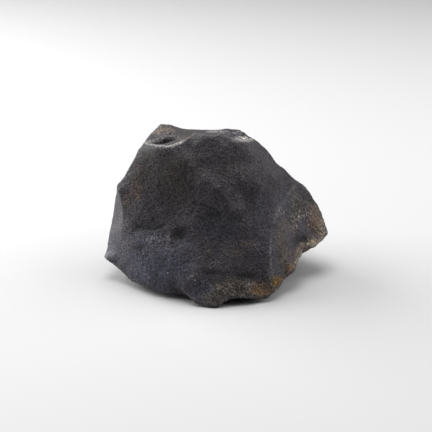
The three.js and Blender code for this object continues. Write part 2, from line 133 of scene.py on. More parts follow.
# overhanging lip along the bottom of the front, and the rough facet under it
LIP = [
    (-4.5, -26.4, 11.4), (-1.1, -26.7, 11.7), (2.6, -26.6, 11.3), (8.1, -24.7, 9.7), (12.1, -24.6, 8.9),
    (15.5, -24.7, 8.2),
]
LOW = [
    (-3.8, -28.1, 7.6), (3, -28.1, 6.8), (9.7, -26.8, 6.2), (14.9, -25.4, 4.4), (18.3, -24.2, 3.8),
]
# right facet
RIGHT = [
    (25.8, -3.1, 26.7), (29.6, 1.4, 26.8), (31.5, 1.3, 21.9), (28.7, -4.2, 20.7), (33.3, -0.1, 17.9),
    (36.4, 3.3, 17.6), (31.4, -3.5, 15.4), (35.6, -0.1, 13.6), (27.9, -7.4, 17.1), (23.9, -7.7, 22.9),
    (22.6, -14.7, 18.3), (22.2, -18.2, 12.3), (21.5, -20.9, 7.9), (28, -7, 13.5), (25.6, -13.5, 12.1),
    (31.4, -4.4, 12.4), (33, 5.3, 24.7), (22.4, -17.1, 15), (26.4, -4.2, 23.5), (20.8, -5.2, 37.3), (24, -11, 20.3),
    (23.1, -3.4, 31.5), (25.4, 0.2, 32.7), (34.7, 3.2, 20.6), (20.7, -14.6, 20.7), (24.9, -16.4, 9.8),
]
# back, underside and resting face
BACK = [
    (-34.6, 10.5, 12), (-26.1, 20.5, 11), (-10.1, 26.5, 10), (7.9, 28.5, 11), (21.9, 24.5, 12), (32.9, 14.5, 13),
    (-32.6, 15.5, 25), (-22.1, 25.5, 27), (-3.1, 30.5, 25), (13.9, 29.5, 28), (26.9, 22, 26), (34.9, 11.5, 20),
    (-26.1, 19, 38), (-14.1, 26.5, 41), (2.9, 27.5, 42), (14.9, 26.5, 39), (22.4, 19, 31.5), (29.9, 16.5, 28),
    (2.9, 9.5, 46), (13.9, 9.5, 44), (-38.6, -0.5, 7), (-37, 4, 9.5), (37.8, 8.8, 13.5),
]
UNDER = [
    (-29.1, 10.5, 3.5), (-13.1, 21.5, 2.5), (6.9, 23.5, 2.5), (21.9, 17.5, 3), (29.9, 2.5, 4.5), (32.9, 5.5, 9),
    (-35, -3.5, 4.8), (-32.5, -6, 2.6), (36.8, 3.5, 10.2),
]
BASE = [
    (0.2, -28.5, 0), (8.4, -19.5, 0), (16.4, -18, 0), (22.9, -9.5, 0), (23.9, 3.5, 0), (14.9, 16.5, 0),
    (-6.1, 17.5, 0), (-21.1, 8.5, 0), (-27.1, -2.5, 0), (-18.1, -14.5, 0), (-8.1, -23.5, 0), (-0.1, -2.5, 0),
]
# broken facets that cut the back: outward normal, distance from the origin
CLEAVES = [
    ((-0.598, 0.758, 0.259), 36.68), ((0.582, 0.783, 0.221), 35.61), ((0.02, 0.8, 0.6), 43.85),
    ((-0.1, 0.882, -0.461), 16.19), ((0.622, 0.602, -0.501), 20.87), ((-0.738, 0.419, -0.529), 23.31),
    ((0.36, 0.739, 0.569), 44.95), ((0.25, 0.968, 0.02), 31.39), ((-0.909, 0.404, 0.101), 36.83),
]
# hollows (depth above 0) and swellings in the front: x, y, z, half width, half height, depth, steepness of the upper wall
DENTS = [
    (-12.3, -18.4, 21.4, 4.1, 3.4, 1.1, 0.3), (31.7, -2.6, 18.1, 3.5, 4.2, 0.9, 0.2),
    (-1.4, -26.8, 11, 5.4, 2.2, 0.5, 0.4), (10.1, -25.1, 8.8, 5.8, 2.2, 0.5, 0.4),
]
# cracks and undercuts: half width, depth, points along it
CRACKS = [
   
    (0.7, 0.28, [(-26.9, -12.6, 22.5), (-25.3, -13.5, 21.8), (-23.4, -14, 22.5), (-21.6, -14.9, 22.1), (-19.7, -15.2, 22.9), (-17.8, -15.5, 24)]),
    (0.5, 0.7, [(26.5, -11.8, 14.4), (27.4, -10.4, 14.8), (28.4, -8.8, 14.9)]),
    (0.55, 0.22, [(-7.5, -15, 31.9), (-5.8, -15.7, 31.3), (-4.1, -16, 31.7), (-2.4, -16.5, 30.9), (-0.8, -16.9, 30.6), (0.6, -17.2, 29.5)]),
]
# pockets in the broken top: x, y, z, half width, half depth, depth
POCKETS = [
    (-17, 2.3, 48.9, 5.2, 4.3, 6.2),
]
# coloured patches: kind, x, y, z, half width, half height, strength
# the dark patches are partly dark stains and partly painted shade: in the top pit, under the brow and the lip, below
# the top rim and in the hollows
PATCHES = [
    ("rough", 29.5, -2.5, 21.9, 6.7, 10.6, 1), ("rough", 32.4, -4.2, 13, 6.7, 3.9, 0.65),
    ("rough", 6.3, -27.2, 6, 14.2, 4.7, 0.75), ("rough", -17.9, 5.7, 48.8, 7.7, 4.2, 0.8),
    ("rough", 6.8, 1.1, 51, 8.3, 3.1, 0.9), ("rough", 22.6, -18.8, 10.8, 4.8, 8.9, 0.6),
    ("rough", -20.9, -16.5, 19.8, 10.3, 3.1, 0.75), ("brown", -13.7, -11.4, 39.1, 9.5, 11.6, 0.8),
    ("brown", 3, -18.1, 30.1, 8.4, 4, 0.12), ("brown", 32.2, 0.1, 20.5, 7.1, 11, 0.9),
    ("brown", 23.3, -14.5, 18.2, 3.4, 7.6, 0.55), ("brown", 7.4, -27.1, 6, 14.2, 4.6, 0.85),
    ("brown", -22.7, -6.2, 44.5, 5.5, 4.8, 0.8), ("brown", -10.4, 0.6, 51.6, 4.8, 2.8, 1),
    ("brown", -17.5, 2.8, 49, 4.2, 2.1, 0.9), ("rust", -27.3, -8, 35.1, 2.1, 5.2, 0.88),
    ("rust", -29.7, -8, 31.9, 2.4, 5.5, 0.35), ("rust", -31.4, -7.9, 29.3, 1.6, 2.1, 0.6),
    ("rust", 35.2, 1.8, 18.2, 4.3, 7.8, 0.8), ("rust", 24.4, -17, 11, 3.4, 7.6, 0.36),
    ("rust", 15.6, -25.2, 4.7, 5.4, 3.1, 1), ("rust", 23.3, -13.9, 18.7, 2.8, 7.6, 0.22),
    ("rust", 31.3, -5.8, 10.7, 3.5, 3.2, 0.4), ("rust", -11.1, 0.3, 51.5, 3.8, 2.1, 0.65),
    ("rust", 6.7, -23, 17.1, 3.7, 1.4, 0.3), ("rust", 11.5, -20.3, 19.4, 3.1, 1.2, 0.35),
    ("orange", 20.8, -22.4, 6.4, 2.7, 2.3, 1), ("orange", 25.7, -16.6, 8.6, 1.5, 1.7, 0.4),
    ("orange", 15.2, -25.6, 4.1, 3.4, 2, 0.6), ("tan", 34.6, -3.5, 12.2, 6, 2.1, 0.8),
    ("tan", 37.8, 2.2, 15.4, 2.7, 5, 0.52), ("tan", 28.4, -3.8, 22.1, 2.1, 4.2, 0.08),
    ("tan", 28.9, -11.5, 10.9, 1.7, 3.8, 0.45), ("tan", -1.4, -29.8, 3.1, 6.7, 2.7, 0.2),
    ("tan", -19.2, 10.5, 49.8, 6.4, 2.5, 0.28), ("tan", 8, -27, 5.9, 12.8, 4.1, 0.15),
    ("tan", 18.7, -24.3, 4.7, 2.4, 2, 0.12), ("tan", 0.6, -29.9, 2.8, 2.7, 1.7, 0.15),
    ("tan", 27.3, -0.7, 28.7, 3.2, 4.6, 0.04), ("tan", 22.4, -9.7, 25.2, 2.1, 4.8, 0.04),
    ("tan", -2.4, -22.4, 17.7, 0.8, 0.7, 0.45), ("pale", 0.3, 1, 52.4, 4.1, 0.9, 0.36),
    ("pale", 9.2, -1.9, 50.7, 4.5, 1.5, 0.57), ("pale", -22.7, -16.1, 19.6, 6.8, 1.5, 0.03),
    ("pale", 7.5, -16.7, 32.2, 2.2, 1.9, 0.01), ("pale", -36.8, -5.7, 10.6, 3.2, 4.9, 0.03),
    ("pale", -36.1, -0.4, 21.8, 2.8, 8.5, 0.02), ("pale", 6.9, 5.3, 50.8, 3.1, 1, 0.06),
    ("pale", -22.2, 0.4, 49, 3.1, 1.2, 0.2), ("blue", -20.9, -20.5, 10.4, 17.1, 8.2, 1),
    ("blue", -35.7, -6.6, 11, 4.2, 7, 0.8), ("blue", -24.1, -15.5, 19.4, 8.2, 3.1, 0.7),
    ("blue", 0.6, -18.9, 24.5, 8.8, 5.4, 0.55), ("blue", 31.3, -3, 17.9, 3.2, 4.2, 0.7),
    ("blue", 25.4, -11.7, 17.1, 1.2, 5.5, 0.7), ("blue", 15.6, -16.9, 23, 5.4, 15.3, 0.3),
    ("blue", -5.5, -28.4, 5.8, 6.1, 5.4, 0.8), ("blue", -11.6, -25, 10.2, 3, 5.8, 0.7),
    ("dark", -13.7, -11.4, 39.1, 8.8, 10.9, 0.1), ("dark", 0.6, -18.3, 25.8, 8.5, 6.4, 0.56),
    ("dark", -13.5, -18.3, 21.2, 2.7, 1.7, 0.32), ("dark", -11.6, -17.7, 23.3, 1.9, 2.4, 0.2),
    ("dark", -22.7, -6.5, 43.8, 5.1, 4.4, 0.42), ("dark", 24, -0.7, 35.1, 4.9, 2.8, 0.15),
    ("dark", -29.4, -8, 32.3, 3.4, 6.2, 0.27), ("dark", -17.1, -0.7, 49.6, 3.1, 1, 1),
    ("dark", -22.7, -3.8, 47.9, 3.1, 1.4, 0.9), ("dark", -25.1, -3.9, 45.8, 2.1, 1.7, 0.35),
    ("dark", -6.2, -6.4, 51, 2.7, 2.4, 0.68), ("dark", 3.3, -6.1, 52, 2.4, 1.1, 0.4),
    ("dark", 5.7, -6.9, 50.8, 3.1, 0.9, 0.45), ("dark", -34.1, -3.6, 34.7, 1.4, 2.8, 0.3),
    ("dark", -10.8, 1.2, 51.4, 4.5, 2.2, 1), ("dark", -1.4, -26.5, 11.6, 2.7, 0.9, 0.62),
    ("dark", -3.4, -26.8, 10.9, 1.7, 0.9, 0.45), ("dark", 10.3, -25.1, 8.9, 3.7, 1.9, 0.85),
    ("dark", 7.7, -25.1, 10.1, 1.7, 0.8, 0.5), ("dark", 27.8, -10.1, 14.4, 1.2, 1.1, 0.8),
    ("dark", 32.5, -2.5, 15.8, 3.2, 2.8, 0.6), ("dark", 31.3, -2, 19.8, 3.2, 3.9, 0.28),
    ("dark", 12.1, -19, 21.6, 8.8, 10.9, 0.1), ("dark", 11.8, -13.1, 36.1, 2.4, 4.1, 0.22),
    ("dark", -3.5, -16.3, 30.8, 4.4, 1.4, 0.22), ("dark", 2, -17.6, 28.4, 6.1, 3, 0.12),
    ("dark", -0.1, -10.4, 45.9, 10.2, 6.1, 0.13), ("dark", -24.1, -7.2, 40.4, 5.5, 5.5, 0.32),
    ("dark", 30.6, -6.3, 12.4, 1.8, 1.8, 0.4), ("speck", -7.1, -27.4, 8.7, 3.7, 3, 0.9),
    ("speck", 28.8, -2.3, 23.3, 2.5, 3.5, 0.72), ("speck", 27.7, -5.9, 20.6, 1.2, 2.1, 0.8),
    ("speck", 11.8, -25.7, 6.8, 3.7, 2.4, 0.45), ("speck", 19.7, -23.6, 6.7, 2.4, 2.4, 0.7),
    ("speck", 6.7, -27, 6.3, 13.5, 4.7, 0.16), ("speck", 33.8, 2.3, 20.7, 4.3, 5.7, 0.28),
    ("speck", 6.9, 4.1, 50.8, 7.7, 2.8, 0.3), ("speck", 11.8, -20.5, 18.9, 4.1, 1, 0.3),
    ("speck", -0.8, -22.5, 17.6, 1.4, 1.4, 0.4), ("speck", 8.4, -12.2, 40.8, 1.4, 1.7, 0.35),
    ("speck", -17.1, -22.5, 9.4, 1.7, 1.7, 0.9), ("speck", 22.8, -8, 26.4, 1.7, 1.7, 0.9),
    ("dark", -18.5, -8.9, 42.5, 4.1, 3.1, 0.2), ("dark", -17.4, -21.4, 13.1, 6.1, 6.8, 0.07),
    ("dark", 10.1, -15.7, 31.3, 2.7, 2.4, 0.16), ("pale", -26.2, -12.1, 25.1, 3.4, 3.1, 0.02),
    ("pale", -32.1, -10.9, 13.3, 2.4, 5.2, 0.04), ("pale", 31.5, 2.1, 24.3, 2.5, 2.5, 0.02),
    ("pale", 1.9, -25, 13.9, 6.1, 2.4, 0.01), ("rust", -26.9, -5.6, 40.6, 2.1, 3.4, 0.36),
    ("brown", -23.4, -7.9, 39.2, 4.5, 5.1, 0.9), ("blue", 23.2, -5.6, 28.8, 3.5, 6.3, 0.5),
    ("dark", -7.6, -5.1, 51.8, 2.4, 1.5, 0.8), ("dark", -26.9, -7.2, 37.2, 3.1, 5.5, 0.52),
    ("dark", 8.8, -6, 49.4, 3.4, 2, 0.25), ("blue", -1.4, -28.9, 6.1, 4, 3.4, 0.2),
    ("pale", -1.8, -29.7, 3.1, 4.4, 2.7, 0.08), ("dark", -20.9, -21.2, 7.3, 6.2, 3.1, 0.1),
    ("pale", -24.1, -13.8, 22.4, 4.1, 2.1, 0.02), ("dark", 1.6, -21.1, 19.9, 3, 3, 0.12),
    ("dark", -7.5, -15.8, 29.8, 5.4, 3.4, 0.11), ("dark", 10.1, -14.2, 34.3, 2.4, 3.1, 0.2),
    ("pale", 1.9, -27.3, 9.4, 4.7, 2, 0.03), ("pale", 27.4, 0.3, 29.5, 2.5, 2.5, 0.03),
    ("pale", 22.3, -13.6, 20.4, 2.1, 4.8, 0.01), ("blue", -10.3, -19.5, 19.3, 4.1, 3.1, 0.5),
    ("rust", 27.2, -7.4, 19.4, 1.7, 2.4, 0.3), ("rust", 26.6, -12.9, 12.3, 1.7, 2.4, 0.3),
    ("brown", 8.1, -10.4, 43.1, 8.8, 3.4, 0.35), ("tan", 25.8, -16.5, 8.8, 1.4, 1.7, 0.3),
    ("dark", -12.3, 5, 50.3, 3.1, 1.7, 1), ("pale", 4, -25, 13.9, 5.4, 2.7, 0.02),
    ("pale", 15.6, -25.3, 4.4, 2.7, 1.7, 0.05),
]
# coloured bands along edges: kind, half width, strength, points along it
BANDS = [
   
    ("pale", 0.55, 0.74, [(-24.7, 2.1, 48.3), (-22.6, -1.7, 48.8), (-20.1, -5, 49.2), (-17.3, -6.8, 49.2), (-14.5, -7, 49.9), (-11.7, -5.7, 50.9)]),
    ("pale", 0.4, 0.3, [(-11.7, -5.7, 50.9), (-9.5, -4.4, 52), (-6.9, -2.3, 53.1)]),
    ("pale", 0.35, 0.15, [(19.4, -15, 22.9), (18.7, -17.9, 19.7), (18.4, -20.8, 15.4), (18.4, -24, 7.9)]),
    ("pale", 0.6, 0.36, [(6.7, -5.3, 51.5), (8.8, -4.3, 50.7), (10.9, -1.9, 49.9), (13.1, 0.8, 48.6)]),
    ("pale", 0.4, 0.25, [(-4.9, -3.5, 53.5), (-2.1, -3.7, 53.5), (0.3, -4, 53.5), (3.7, -1.3, 52.5), (5.4, -4.7, 52.2)]),
    ("tan", 0.8, 0.75, [(39.7, 2.8, 13.6), (37.8, 0.4, 12.3), (35.1, -3.2, 11.3), (32.5, -4.8, 10.4), (30.5, -7.1, 10.9), (29.2, -11, 10.7), (28, -14, 9.3)]),
    ("rust", 0.9, 0.7, [(28, -14, 9.3), (26.6, -15.8, 7.9), (24.8, -17.5, 7.1)]),
    ("pale", 0.9, 0.09, [(28.2, 2.5, 31.7), (25.1, -2.7, 29.5), (22.4, -7.6, 27.4), (20.2, -13.1, 24.7)]),
    # painted light: these bands lighten the lower-left corner and the bottom rim against the shade of the floor
    # contact; the edge there is also a little worn
    ("worn", 1.2, 0.8, [(-39.6, -5.2, 7.7), (-37.6, -6.6, 6.4), (-34.9, -9.1, 5.6), (-33.4, -10.7, 4.8)]),
    ("worn", 1, 0.4, [(-29.7, -14.5, 2.9), (-22.1, -20.3, 2.2), (-16.9, -22.8, 2.4), (-11.3, -25, 2.7), (-7.2, -28.4, 1.2), (-2.8, -29.9, 0.6), (0.3, -29.6, 0.1), (1.9, -29.7, 1.8), (6.3, -28.2, 2.8), (10.4, -27.5, 2.4), (14.9, -26, 1.7), (17, -25.1, 1.3), (19.4, -23.5, 2.4), (21.5, -21.8, 3.5), (23.7, -19.2, 5.6)]),
]


# ---------------------------------------------------------------- repeatable noise
def hash3(i, j, k, seed):
    """A repeatable number in 0..1 for each lattice point."""
    h = (i * 374761393 + j * 668265263 + k * 2147483647 + seed * 974634777) & 0xFFFFFFFF
    h = ((h ^ (h >> 13)) * 1274126177) & 0xFFFFFFFF
    h = ((h ^ (h >> 16)) * 2246822519) & 0xFFFFFFFF
    h = h ^ (h >> 15)
    return (h & 0xFFFFFF) / float(0x1000000)


def noise3(p, seed):
    """Smooth noise between about -1 and 1."""
    i = np.floor(p).astype(np.int64)
    f = p - i
    u = f * f * f * (f * (f * 6 - 15) + 10)
    total = 0
    for a in (0, 1):
        for b in (0, 1):
            for c in (0, 1):
                w = 1
                for axis, far in enumerate((a, b, c)):
                    w = w * (u[:, axis] if far else 1 - u[:, axis])
                total = total + w * hash3(i[:, 0] + a, i[:, 1] + b, i[:, 2] + c, seed)
    return 2 * total - 1


def layered(p, size, octaves, seed, gain=0.5):
    """Noise with features of the given size and finer."""
    value, amount, total = 0, 1.0, 0.0
    q = p / size
    for o in range(octaves):
        value = value + amount * noise3(q + 17.3 * o, seed + o)
        total += amount
        amount *= gain
        q = q * 2.03
    return value / total


def cells(p, size, seed):
    """For grains of the given size: distance to the nearest grain's middle, to the next one's, and the grain's own number."""
    q = p / size
    i = np.floor(q).astype(np.int64)
    first = np.full(len(p), 9.0)
    second = first.copy()
    own = np.zeros(len(p))
    for a in (-1, 0, 1):
        for b in (-1, 0, 1):
            for c in (-1, 0, 1):
                x, y, z = i[:, 0] + a, i[:, 1] + b, i[:, 2] + c
                s = np.stack([x + hash3(x, y, z, seed), y + hash3(x, y, z, seed + 11), z + hash3(x, y, z, seed + 23)], 1)
                d = np.linalg.norm(q - s, axis=1)
                near = d < first
                second = np.where(near, first, np.minimum(second, d))
                own = np.where(near, hash3(x, y, z, seed + 37), own)
                first = np.where(near, d, first)
    return first, second, own


# ---------------------------------------------------------------- mesh helpers
def hull_triangles(directions):
    """Triangles that join unit directions, facing out."""
    bm = bmesh.new()
    verts = [bm.verts.new(d) for d in directions]
    bm.verts.index_update()
    bmesh.ops.convex_hull(bm, input=verts)
    bmesh.ops.triangulate(bm, faces=bm.faces[:])
    tri = np.array([[v.index for v in f.verts] for f in bm.faces])
    bm.free()
    d = np.asarray(directions)
    n = np.cross(d[tri[:, 1]] - d[tri[:, 0]], d[tri[:, 2]] - d[tri[:, 0]])
    back = (n * d[tri].sum(1)).sum(1) < 0
    tri[back] = tri[back][:, [0, 2, 1]]
    return tri


def ball(n):
    """Unit ball from an icosahedron whose faces are cut n times each way: directions and triangles."""
    g = (1 + 5**0.5) / 2
    corners = np.array([(-1, g, 0), (1, g, 0), (-1, -g, 0), (1, -g, 0), (0, -1, g), (0, 1, g),
                        (0, -1, -g), (0, 1, -g), (g, 0, -1), (g, 0, 1), (-g, 0, -1), (-g, 0, 1)], float)
    faces = [(0, 11, 5), (0, 5, 1), (0, 1, 7), (0, 7, 10), (0, 10, 11), (1, 5, 9), (5, 11, 4), (11, 10, 2), (10, 7, 6), (7, 1, 8),
             (3, 9, 4), (3, 4, 2), (3, 2, 6), (3, 6, 8), (3, 8, 9), (4, 9, 5), (2, 4, 11), (6, 2, 10), (8, 6, 7), (9, 8, 1)]
    ij = [(i, j) for i in range(n + 1) for j in range(n + 1 - i)]
    at = {k: m for m, k in enumerate(ij)}
    share = np.array([((n - i - j) / n, i / n, j / n) for i, j in ij])
    one = [(at[i, j], at[i + 1, j], at[i, j + 1]) for i in range(n) for j in range(n - i)]
    one += [(at[i + 1, j], at[i + 1, j + 1], at[i, j + 1]) for i in range(n) for j in range(n - i - 1)]
    points = np.concatenate([share @ corners[list(f)] for f in faces])
    tri = np.concatenate([np.array(one) + m * len(ij) for m in range(len(faces))])
    _, first, same = np.unique(np.round(points, 6), axis=0, return_index=True, return_inverse=True)
    points, tri = points[first], same.reshape(-1)[tri]
    return points / np.linalg.norm(points, axis=1, keepdims=True), tri


def reach(directions, cage, tri):
    """Distance from the heart to the cage along each direction."""
    a, b, c = (cage[tri[:, k]] for k in range(3))
    n = np.cross(b - a, c - a)
    k = (n * a).sum(1)
    sides = [s / np.linalg.norm(s, axis=1, keepdims=True) for s in (np.cross(a, b), np.cross(b, c), np.cross(c, a))]
    out = np.zeros(len(directions))
    for s in range(0, len(directions), 4000):
        d = directions[s : s + 4000]
        best = np.minimum.reduce([d @ q.T for q in sides]).argmax(1)
        out[s : s + 4000] = k[best] / (d * n[best]).sum(1)
    return out


class Net:
    """Neighbours of each vertex, for smoothing."""

    def __init__(self, count, tri):
        e = np.concatenate([tri[:, [0, 1]], tri[:, [1, 2]], tri[:, [2, 0]]])
        e = np.unique(np.concatenate([e, e[:, ::-1]]), axis=0)
        start = np.searchsorted(e[:, 0], np.arange(count + 1))
        self.n = np.diff(start)
        self.near = np.repeat(np.arange(count)[:, None], self.n.max(), 1)
        for k in range(self.n.max()):
            has = self.n > k
            self.near[has, k] = e[start[:-1][has] + k, 1]
        self.pad = self.near.shape[1] - self.n

    def smooth(self, v, rounds, share):
        wide = v.ndim > 1
        pad = self.pad[:, None] if wide else self.pad
        n = self.n[:, None] if wide else self.n
        share = share[:, None] if wide and isinstance(share, np.ndarray) else share
        for _ in range(rounds):
            total = v[self.near[:, 0]].copy()
            for k in range(1, self.near.shape[1]):
                total += v[self.near[:, k]]
            v = v + ((total - v * pad) / n - v) * share
        return v


def normals(v, tri):
    f = np.cross(v[tri[:, 1]] - v[tri[:, 0]], v[tri[:, 2]] - v[tri[:, 0]])
    n = np.zeros_like(v)
    for k in range(3):
        for a in range(3):
            n[:, a] += np.bincount(tri[:, k], f[:, a], len(v))
    return n / np.maximum(np.linalg.norm(n, axis=1, keepdims=True), 1e-12)


def line_distance(p, line):
    """Distance from each point to a run of straight pieces."""
    best = np.full(len(p), 1e9)
    for a, b in zip(line[:-1], line[1:]):
        ab = b - a
        t = ((p - a) @ ab / (ab @ ab)).clip(0, 1)
        best = np.minimum(best, np.linalg.norm(p - a - t[:, None] * ab, axis=1))
    return best


def pulled(v, targets, spread):
    """Smooth displacement that brings the surface back to the targets."""
    near = np.array([((v - p) ** 2).sum(1).argmin() for p in targets])
    at = v[near]

    def kernel(p):
        return np.exp(-((p[:, None, :] - at) ** 2).sum(2) / (2 * spread**2))

    pull = np.linalg.solve(kernel(at) + 0.05 * np.eye(len(at)), targets - at)
    return np.concatenate([kernel(v[s : s + 8000]) @ pull for s in range(0, len(v), 8000)])


def ease(x, low, high):
    """0 below low, 1 above high, smooth between."""
    t = ((x - low) / (high - low)).clip(0, 1)
    return t * t * (3 - 2 * t)


def bowl(u, v, lean):
    """1 in the middle, 0 at the edge. A positive lean makes the upper wall the steeper one."""
    q = u * u + v * v
    return np.where(q < 1, (1 - q) ** 2, 0) * (1 + lean * v)


# ---------------------------------------------------------------- the stone's shape
groups = dict(RIM=RIM, TOP_EDGE=TOP_EDGE, TOP=TOP, LEFT_EDGE=LEFT_EDGE, FRONT=FRONT, BROW=BROW, RIDGE=RIDGE, LIP=LIP, LOW=LOW,
              RIGHT=RIGHT, BACK=BACK, UNDER=UNDER, BASE=BASE)
landmarks = np.array([p for g in groups.values() for p in g], float)
EDGES = {  # how sharp each edge stays, 0 worn round to 1 fresh, and how wide, mm
    "RIM": (0.96, 2.2), "TOP_EDGE": (0.95, 1.4), "LEFT_EDGE": (0.95, 1.5), "RIDGE": (0.75, 1.2), "LIP": (0.75, 1.2), "BROW": (0.75, 1.1),
}


def make_stone():
    cage = landmarks - HEART
    unit = cage / np.linalg.norm(cage, axis=1, keepdims=True)
    d, tri = ball(DIVISIONS)
    r = reach(d, cage, hull_triangles(unit))
    for normal, distance in CLEAVES:
        n = np.array(normal)
        along = d @ n
        r = np.minimum(r, np.where(along > 1e-3, (distance - n @ HEART) / np.maximum(along, 1e-3), 1e9))
    v = HEART + d * r[:, None]
    net = Net(len(v), tri)

    # wear: facets between the landmarks run together, edges stay
    keep = np.zeros(len(v))
    for name, (sharp, width) in EDGES.items():
        keep = np.maximum(keep, sharp * np.exp(-((line_distance(v, np.array(groups[name], float)) / width) ** 2)))
    flat = ease(v[:, 1], 4, 12) * 0.6  # the broken back keeps its facets
    share = 0.5 * (1 - np.maximum(keep, flat))
    hold = np.array([name not in ("BACK", "UNDER") for name, g in groups.items() for _ in g])
    for rounds in (16, 6, 3):
        v = net.smooth(v, rounds, share)
        v = v + pulled(v, landmarks[hold], 2.2)
    v = net.smooth(v, 1, share)

    # hollows, swellings, cracks and pockets
    n = normals(v, tri)
    front = ease(n @ OUT, 0.05, 0.35)
    start = v.copy()
    for x, y, z, half_w, half_h, depth, lean in DENTS:
        p = start - np.array((x, y, z))
        w = bowl(p[:, 0] / half_w, p @ UP / half_h, lean) * (np.abs(p @ OUT) < 9) * front
        v = v - OUT * (depth * w)[:, None]
    # where cracks and pockets cut in; the finish darkens these places as painted shade
    painted_recess_shade = np.zeros(len(v))
    for half, depth, line in CRACKS:
        away = line_distance(start, np.array(line, float)) / half
        w = np.exp(-(away**2)) * (1 + 0.5 * layered(start, 2.0, 2, 31))
        v = v - n * (depth * w)[:, None]
        painted_recess_shade = np.maximum(painted_recess_shade, (0.8 * w).clip(0, 1))
    for x, y, z, half_w, half_d, depth in POCKETS:
        p = start - np.array((x, y, z))
        q = np.hypot(p[:, 0] / half_w, p[:, 1] / half_d) * (1 + 0.6 * layered(start, 3.4, 3, 41))
        w = 1 - ease(q, 0.18, 1.0)
        w = w * (np.abs(p[:, 2]) < 5) * ease(n[:, 2], 0.2, 0.6)
        v[:, 2] -= depth * w * (1 + 0.3 * layered(start, 2.2, 2, 43))
        painted_recess_shade = np.maximum(painted_recess_shade, w)

    # flakes broken off: small flats cut into edges, larger ones on the hidden sides
    n = net.smooth(normals(v, tri), 20, 0.5)
    n /= np.linalg.norm(n, axis=1, keepdims=True)
    rng = np.random.default_rng(7)
    flakes = []
    for name, count, most in (("RIM", 26, 0.08), ("TOP_EDGE", 8, 0.06)):
        line = np.array(groups[name], float)
        for _ in range(count):
            k = rng.integers(len(line) - 1)
            t = rng.random()
            flakes.append((line[k] * (1 - t) + line[k + 1] * t, rng.uniform(1.4, 2.8), rng.uniform(0.02, most), 0.25 * most / 0.15))
    swell = ((v - net.smooth(v, 80, 0.5)) * n).sum(1)
    for _ in range(260):
        u = rng.normal(0, 1, 3)
        u[1] = abs(u[1]) + 0.3
        i = (d @ (u / np.linalg.norm(u))).argmax()
        if swell[i] > 0.12:  # only what stands out breaks off
            flakes.append((v[i], rng.uniform(7, 12), rng.uniform(0.1, 0.5), 0.07))
    apart = ease(line_distance(v, np.array(groups["RIM"], float)), 0.6, 4.5)  # the rim keeps its line
    for p, radius, depth, turn in flakes:
        i = ((v - p) ** 2).sum(1).argmin()
        m = n[i] + rng.normal(0, turn, 3)
        m /= np.linalg.norm(m)
        over = (v - v[i]) @ m + depth
        w = 1 - ease(np.linalg.norm(v - v[i], axis=1), 0.7 * radius, radius)
        if radius > 3.5:
            w = w * apart * (1 - front)
        v = v - m * (np.maximum(over, 0) * w * 0.9)[:, None]

    # where the surface is rough: broken top, right facet, the facet under the lip
    rough = np.full(len(v), 0.3)
    for kind, x, y, z, half_w, half_h, strength in PATCHES:
        if kind == "rough":
            rough = np.maximum(rough, strength * patch_of(v, (x, y, z), half_w, half_h))
    rough = np.maximum(rough, 0.75 * ease(layered(v, 14.0, 2, 3), 0.05, 0.5) * ease(v[:, 1], 0, 8))

    # grain
    n = normals(v, tri)
    lump = 0.16 * layered(v, 7.0, 2, 50) + 0.09 * layered(v, 2.8, 2, 60)
    near, nxt, own = cells(v, 1.5, 70)
    grain = (1 - near.clip(0, 1)) * (0.3 + own) * 0.20 + 0.10 * layered(v, 1.1, 1, 80)
    v = v + n * (lump * (0.6 + 0.6 * rough) + (grain - 0.1) * (0.15 + 1.1 * rough))[:, None]

    # resting face
    v[:, 2] = np.where(v[:, 2] < 0.25, 0.0, v[:, 2])
    return v, tri, net, d, rough, painted_recess_shade, (near, own)


def patch_of(v, at, half_w, half_h):
    """A patch on the front with a soft edge: 1 in the middle, 0 outside."""
    p = v - np.array(at)
    q = np.hypot(p[:, 0] / half_w, p @ UP / half_h)
    return 1 - ease(q, 0.35, 1.15)


v, tri, net, d, rough, painted_recess_shade, (grain_near, grain_own) = make_stone()

# ---------------------------------------------------------------- where each finish lies
n = normals(v, tri)
broad = net.smooth(v, 30, 0.5)
curve = ((v - broad) * n).sum(1)  # above 0 on edges, below 0 in hollows
fine = ((v - net.smooth(v, 6, 0.5)) * n).sum(1)
blot = layered(v, 9.0, 4, 90)
dust = layered(v, 2.4, 3, 95)
kinds = {k: np.zeros(len(v)) for k in ("rust", "orange", "pale", "tan", "blue", "brown", "dark", "speck", "worn")}
front = n @ OUT > -0.25
for kind, x, y, z, half_w, half_h, strength in PATCHES:
    if kind in kinds:
        p = v - np.array((x, y, z))
        q = np.hypot(p[:, 0] / half_w, p @ UP / half_h) - 0.28 * blot - 0.18 * dust
        w = strength * (1 - ease(q, 0.35, 1.15)) * (np.abs(p @ OUT) < 10) * front
        kinds[kind] = np.maximum(kinds[kind], w)
for kind, half, strength, line in BANDS:
    q = line_distance(v, np.array(line, float)) / half - 0.5 * dust
    kinds[kind] = np.maximum(kinds[kind], strength * (1 - ease(q, 0.2, 1.6)))
# hidden sides weather in the same way
hidden = ease(v[:, 1], 2, 9)
kinds["rust"] = np.maximum(kinds["rust"], hidden * ease(layered(v, 13.0, 4, 120), 0.12, 0.5) * 0.45)
kinds["brown"] = np.maximum(kinds["brown"], hidden * ease(layered(v, 17.0, 3, 130), 0.0, 0.45) * 0.8)
kinds["blue"] = np.maximum(kinds["blue"], hidden * ease(layered(v, 15.0, 3, 140), 0.02, 0.4) * 0.8)
kinds["orange"] = np.maximum(kinds["orange"], hidden * ease(layered(v, 5.0, 3, 150), 0.38, 0.6) * ease(18 - v[:, 2], 0, 10) * 0.7)
kinds["pale"] = np.maximum(kinds["pale"], hidden * ease(curve, 0.25, 0.6) * ease(layered(v, 6.0, 2, 160), -0.1, 0.4) * 0.2)
